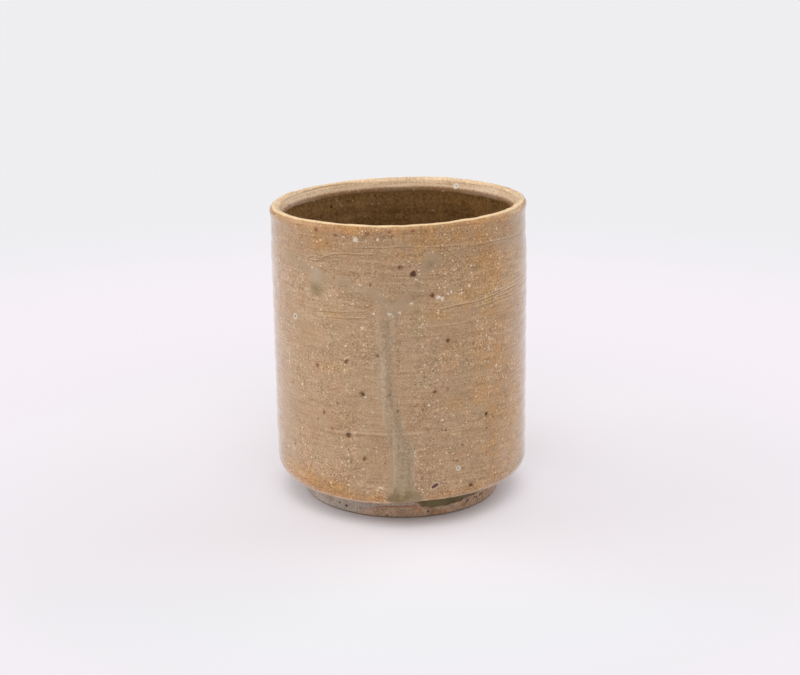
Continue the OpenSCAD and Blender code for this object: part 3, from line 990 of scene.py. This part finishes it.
# Sideways place, height above the top of the run, width, length and share of full depth of each drop
drops = [
    (-22.9, 5.6, 6.4, 9.6, 1), (-15.4, 6.4, 5.4, 4.4, 0.45), (-10.2, 3.4, 6, 4.2, 0.45),
    (8.8, 12.6, 7, 6, 0.5),
]
drop_thick = 0.18
drop_rows = 60


def ash_drop(tree):
    """The sandy glaze, and ash over it, olive where the drop has gathered."""
    base, height, gloss = sandy_layers(tree)
    where = place(tree)
    freckle = clouds(where, 2, 3)
    melted = (attribute(tree, "depth") + freckle.swing(1)).rise(0.1, 1.2)
    fall = attribute(tree, "fall") + freckle.swing(0.4)
    ash = tint(fall.rise(0.8, 0.3), (0.225, 0.163, 0.07), (0.42, 0.31, 0.22))
    base.lay(melted, ash, 0.85)
    fire(base, gloss, height * (1 - melted * 0.7), 0.07, 0.06, 1)


def drop_strip(sideways, above, width, length, full):
    """One drop: a strip as long as the drop, whose half width follows an oval, fuller towards the bottom.
    The last two values are the share of full depth and how far down the drop each point is."""
    angle = np.linspace(-90, 90, drop_rows)
    rising = np.sin(np.radians(angle))
    oval = np.maximum(np.cos(np.radians(angle)), 0.02) * (1 - 0.25 * rising)
    height = run_top + above + length / 2 * rising
    arc_place = np.arcsin(sideways / (wall_radius + coat)) * (wall_radius + coat)
    middle = np.full(drop_rows, arc_place) + 0.2 * np.sin(angle / 20)
    half = width / 2 / np.sqrt(1 - (sideways / wall_radius) ** 2) * oval
    points, faces, turned, level, depth, _ = melted_strip(middle, height, half, drop_thick * oval.clip(0, 1))
    fall = np.repeat((1 - rising) / 2, depth.shape[1])
    return points, faces, turned, level, depth**2 * full, fall


def gathered(strips):
    """Several strips as one mesh: their points in a row, and their faces counted on from one another."""
    starts = np.cumsum([0] + [len(strip[0]) for strip in strips])
    faces = [[start + k for k in face] for start, strip in zip(starts, strips) for face in strip[1]]
    values = [np.concatenate([np.ravel(strip[k]) for strip in strips]) for k in (2, 3, 4, 5)]
    return np.concatenate([strip[0] for strip in strips]), faces, *values


drip_points, drip_faces, drip_turned, drip_level, drip_depth, drip_fall = gathered(
    [drop_strip(*drop) for drop in drops])
piece("ash_drips.drops", drip_points, drip_faces, ash_drop, "ash_drips", "ash_glaze",
      depth=drip_depth, fall=drip_fall, **coat_values(drip_turned, drip_level))

# Foot glaze
# A tongue of glaze that ran under the lower edge on to the foot and set as dark olive glass. It is thin,
# with rounded edges, is fused to the clay, and is burnt brown towards its tail.
patch_start, patch_sweep = 6.2, 54.8
patch_height = (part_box("foot_glaze")[1].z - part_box("foot_glaze")[0].z) / mm
patch_thick = 0.34
patch_rows, patch_columns = 110, 24


def olive_glass(tree):
    """Dark olive glass, pitted, and burnt brown towards its tail."""
    where = place(tree)
    mottle = clouds(where, 2.2, 3).rise(0.3, 0.7)
    base = tint(mottle, (0.1, 0.073, 0.022), (0.178, 0.131, 0.047))
    base.lay(attribute(tree, "depth").rise(0.06, 0), (0.24, 0.17, 0.1))
    pits = grains(where, 1.6, 0.25, 0.05, 0.2, 0.08)
    base.lay(pits, (0.02, 0.015, 0.008), 0.6)
    fine = clouds(where, 0.8, 2)
    burnt = attribute(tree, "tail") + fine.swing(0.5)
    base.lay(burnt.rise(0.45, 0.75), (0.2, 0.12, 0.06), 0.75)
    crumbs = grains(stirred(where, 0.7, 0.6), 0.9, 0.6, 0.1, 0.3, 0.1) * burnt.rise(0.4, 0.6)
    base.lay(crumbs, (0.035, 0.02, 0.01), 0.9)
    fire(base, fine.rise(-0.4, 3.2), fine, 0.04)


# How far down the tongue reaches along its length, as a share of its full height: steep at its left end,
# level for the first half, then thinning to a point
reach_along = [0, 0.05, 0.1, 0.25, 0.5, 0.6, 0.85, 0.95, 1]
reach_share = [0.1, 0.5, 0.94, 1, 0.98, 0.86, 0.76, 0.62, 0.2]
along = np.linspace(0, 1, patch_rows)
patch_drop = patch_height * np.interp(along, reach_along, reach_share)
patch_drop += 0.1 * np.sin(along * 37) + 0.06 * np.sin(along * 71)
down = np.linspace(0, 1, patch_columns)
loop = np.concatenate([down, down[-2:0:-1]])
over = np.arange(len(loop)) < patch_columns
end_fade = np.sqrt(np.sin(np.pi * np.clip(along, 0.002, 0.998)))
edge_fade = np.sqrt(np.clip(1 - loop**4, 0, 1)) * end_fade[:, None]
under = -0.15 * np.clip(loop * (1 - loop) * 4, 0, 1)
patch_out = foot_radius + np.where(over, patch_thick * edge_fade, under)
patch_turned = patch_start + patch_sweep * along
patch_level = foot_height - 0.02 - patch_drop[:, None] * loop
patch_points = settle(round_axis(patch_turned[:, None], patch_level, patch_out))
patch_depth = np.where(over, 1 - loop, 0) * edge_fade
piece("foot_glaze.tongue", patch_points, tube_faces(patch_rows, len(loop)), olive_glass,
      "foot_glaze", "olive_glaze", depth=patch_depth, tail=np.repeat(along, len(loop)))

# Studio
# A plain pale floor in soft light: large soft lamps above, in front and on each side. Away from the cup the
# camera and reflections see the paper as an even white that does not light the cup, and beside the cup they
# see it partly mixed with that white, a painted light that lightens its shadow.


def pale_paper(tree):
    """Matt paper near the cup, mixed beside it for the camera and reflections with painted light that
    lightens its shadow. Further off, for them, an even white of its own.
    """
    spot = place(tree)
    across = node(tree, "SeparateXYZ", {0: spot})
    sheet = tint(across.beside(1).rise(-50, -100), (0.76, 0.73, 0.76), (0.715, 0.724, 0.749))
    inputs = {"Base Color": sheet, "Roughness": 0.7, "Specular IOR Level": 0.2}
    paper = node(tree, "BsdfPrincipled", inputs)
    camera_ray = node(tree, "LightPath", output="Is Camera Ray")
    seen = calc("MAXIMUM", camera_ray, camera_ray.beside("Is Glossy Ray"))
    seen = calc("MAXIMUM", seen, camera_ray.beside("Is Transmission Ray"))
    away = node(tree, "VectorMath", {0: spot}, "Value", operation="LENGTH")
    # painted light: beside the cup up to 0.7 of the camera's view of the paper is the even white, lightening
    # its shadow
    beside = calc("POWER", calc("DIVIDE", calc("ABSOLUTE", across), away), 2.0)
    near = away.rise(27, 44) * (beside * 0.7)
    seen = seen * calc("MAXIMUM", near, away.rise(80, 170))
    white = tint(away.rise(60, 200), (0.87, 0.83, 0.865), (0.925, 0.875, 0.925))
    white.lay(away.rise(230, 420), (0.86, 0.855, 0.88))
    far_paper = node(tree, "Emission", {"Color": white, "Strength": 1.0})
    shader = node(tree, "MixShader", {0: seen, 1: paper, 2: far_paper})
    node(tree, "OutputMaterial", {"Surface": shader})


floor_mesh = bpy.data.meshes.new("floor")
reach = 6.0
floor_corners = [(-reach, -reach, 0), (reach, -reach, 0), (reach, reach, 0), (-reach, reach, 0)]
floor_mesh.from_pydata(floor_corners, [], [(0, 1, 2, 3)])
floor_mesh.materials.append(new_material(pale_paper))
floor = bpy.data.objects.new("floor", floor_mesh)
bpy.context.scene.collection.objects.link(floor)

world = bpy.data.worlds.new("room")
world.use_nodes = True
world.node_tree.nodes.clear()
room = node(world.node_tree, "Background", {"Color": (1, 1, 1), "Strength": 0.4})
node(world.node_tree, "OutputWorld", {"Surface": room})
bpy.context.scene.world = world

lamp_target = 0, 0, 0.04


def soft_lamp(name, watts, size, spot):
    """A square lamp at a spot, turned to face the cup."""
    lamp = bpy.data.lights.new(name, "AREA")
    lamp.energy = watts
    lamp.size = size
    made = bpy.data.objects.new(name, lamp)
    made.location = spot
    aim = np.array(lamp_target) - np.array(spot)
    tilt = np.arctan2(np.hypot(aim[0], aim[1]), -aim[2])
    made.rotation_euler = (tilt, 0, np.arctan2(aim[1], aim[0]) - np.pi / 2)
    bpy.context.scene.collection.objects.link(made)


soft_lamp("top_softbox", 7.0, 0.9, (0, -0.42, 1.15))
soft_lamp("left_softbox", 6.3, 0.9, (-0.9, 0.1, 0.45))
soft_lamp("right_softbox", 5.3, 0.9, (0.8, 0.44, 0.45))
soft_lamp("front_softbox", 2.3, 0.8, (0, -1.1, 0.45))

camera_data = bpy.data.cameras.new("camera")
camera_data.sensor_fit = "HORIZONTAL"
camera_data.sensor_width = 36.0
image_width = 800
focal_pixels = 1572.6
camera_data.lens = focal_pixels / image_width * camera_data.sensor_width
camera_data.clip_start = 0.01
camera = bpy.data.objects.new("camera", camera_data)
camera.location = (-0.00047, -0.45237, 0.17626)
camera.rotation_euler = (np.radians(90 - 16.06), 0, 0)
bpy.context.scene.collection.objects.link(camera)
bpy.context.scene.camera = camera
bpy.context.scene.view_settings.view_transform = "Standard"
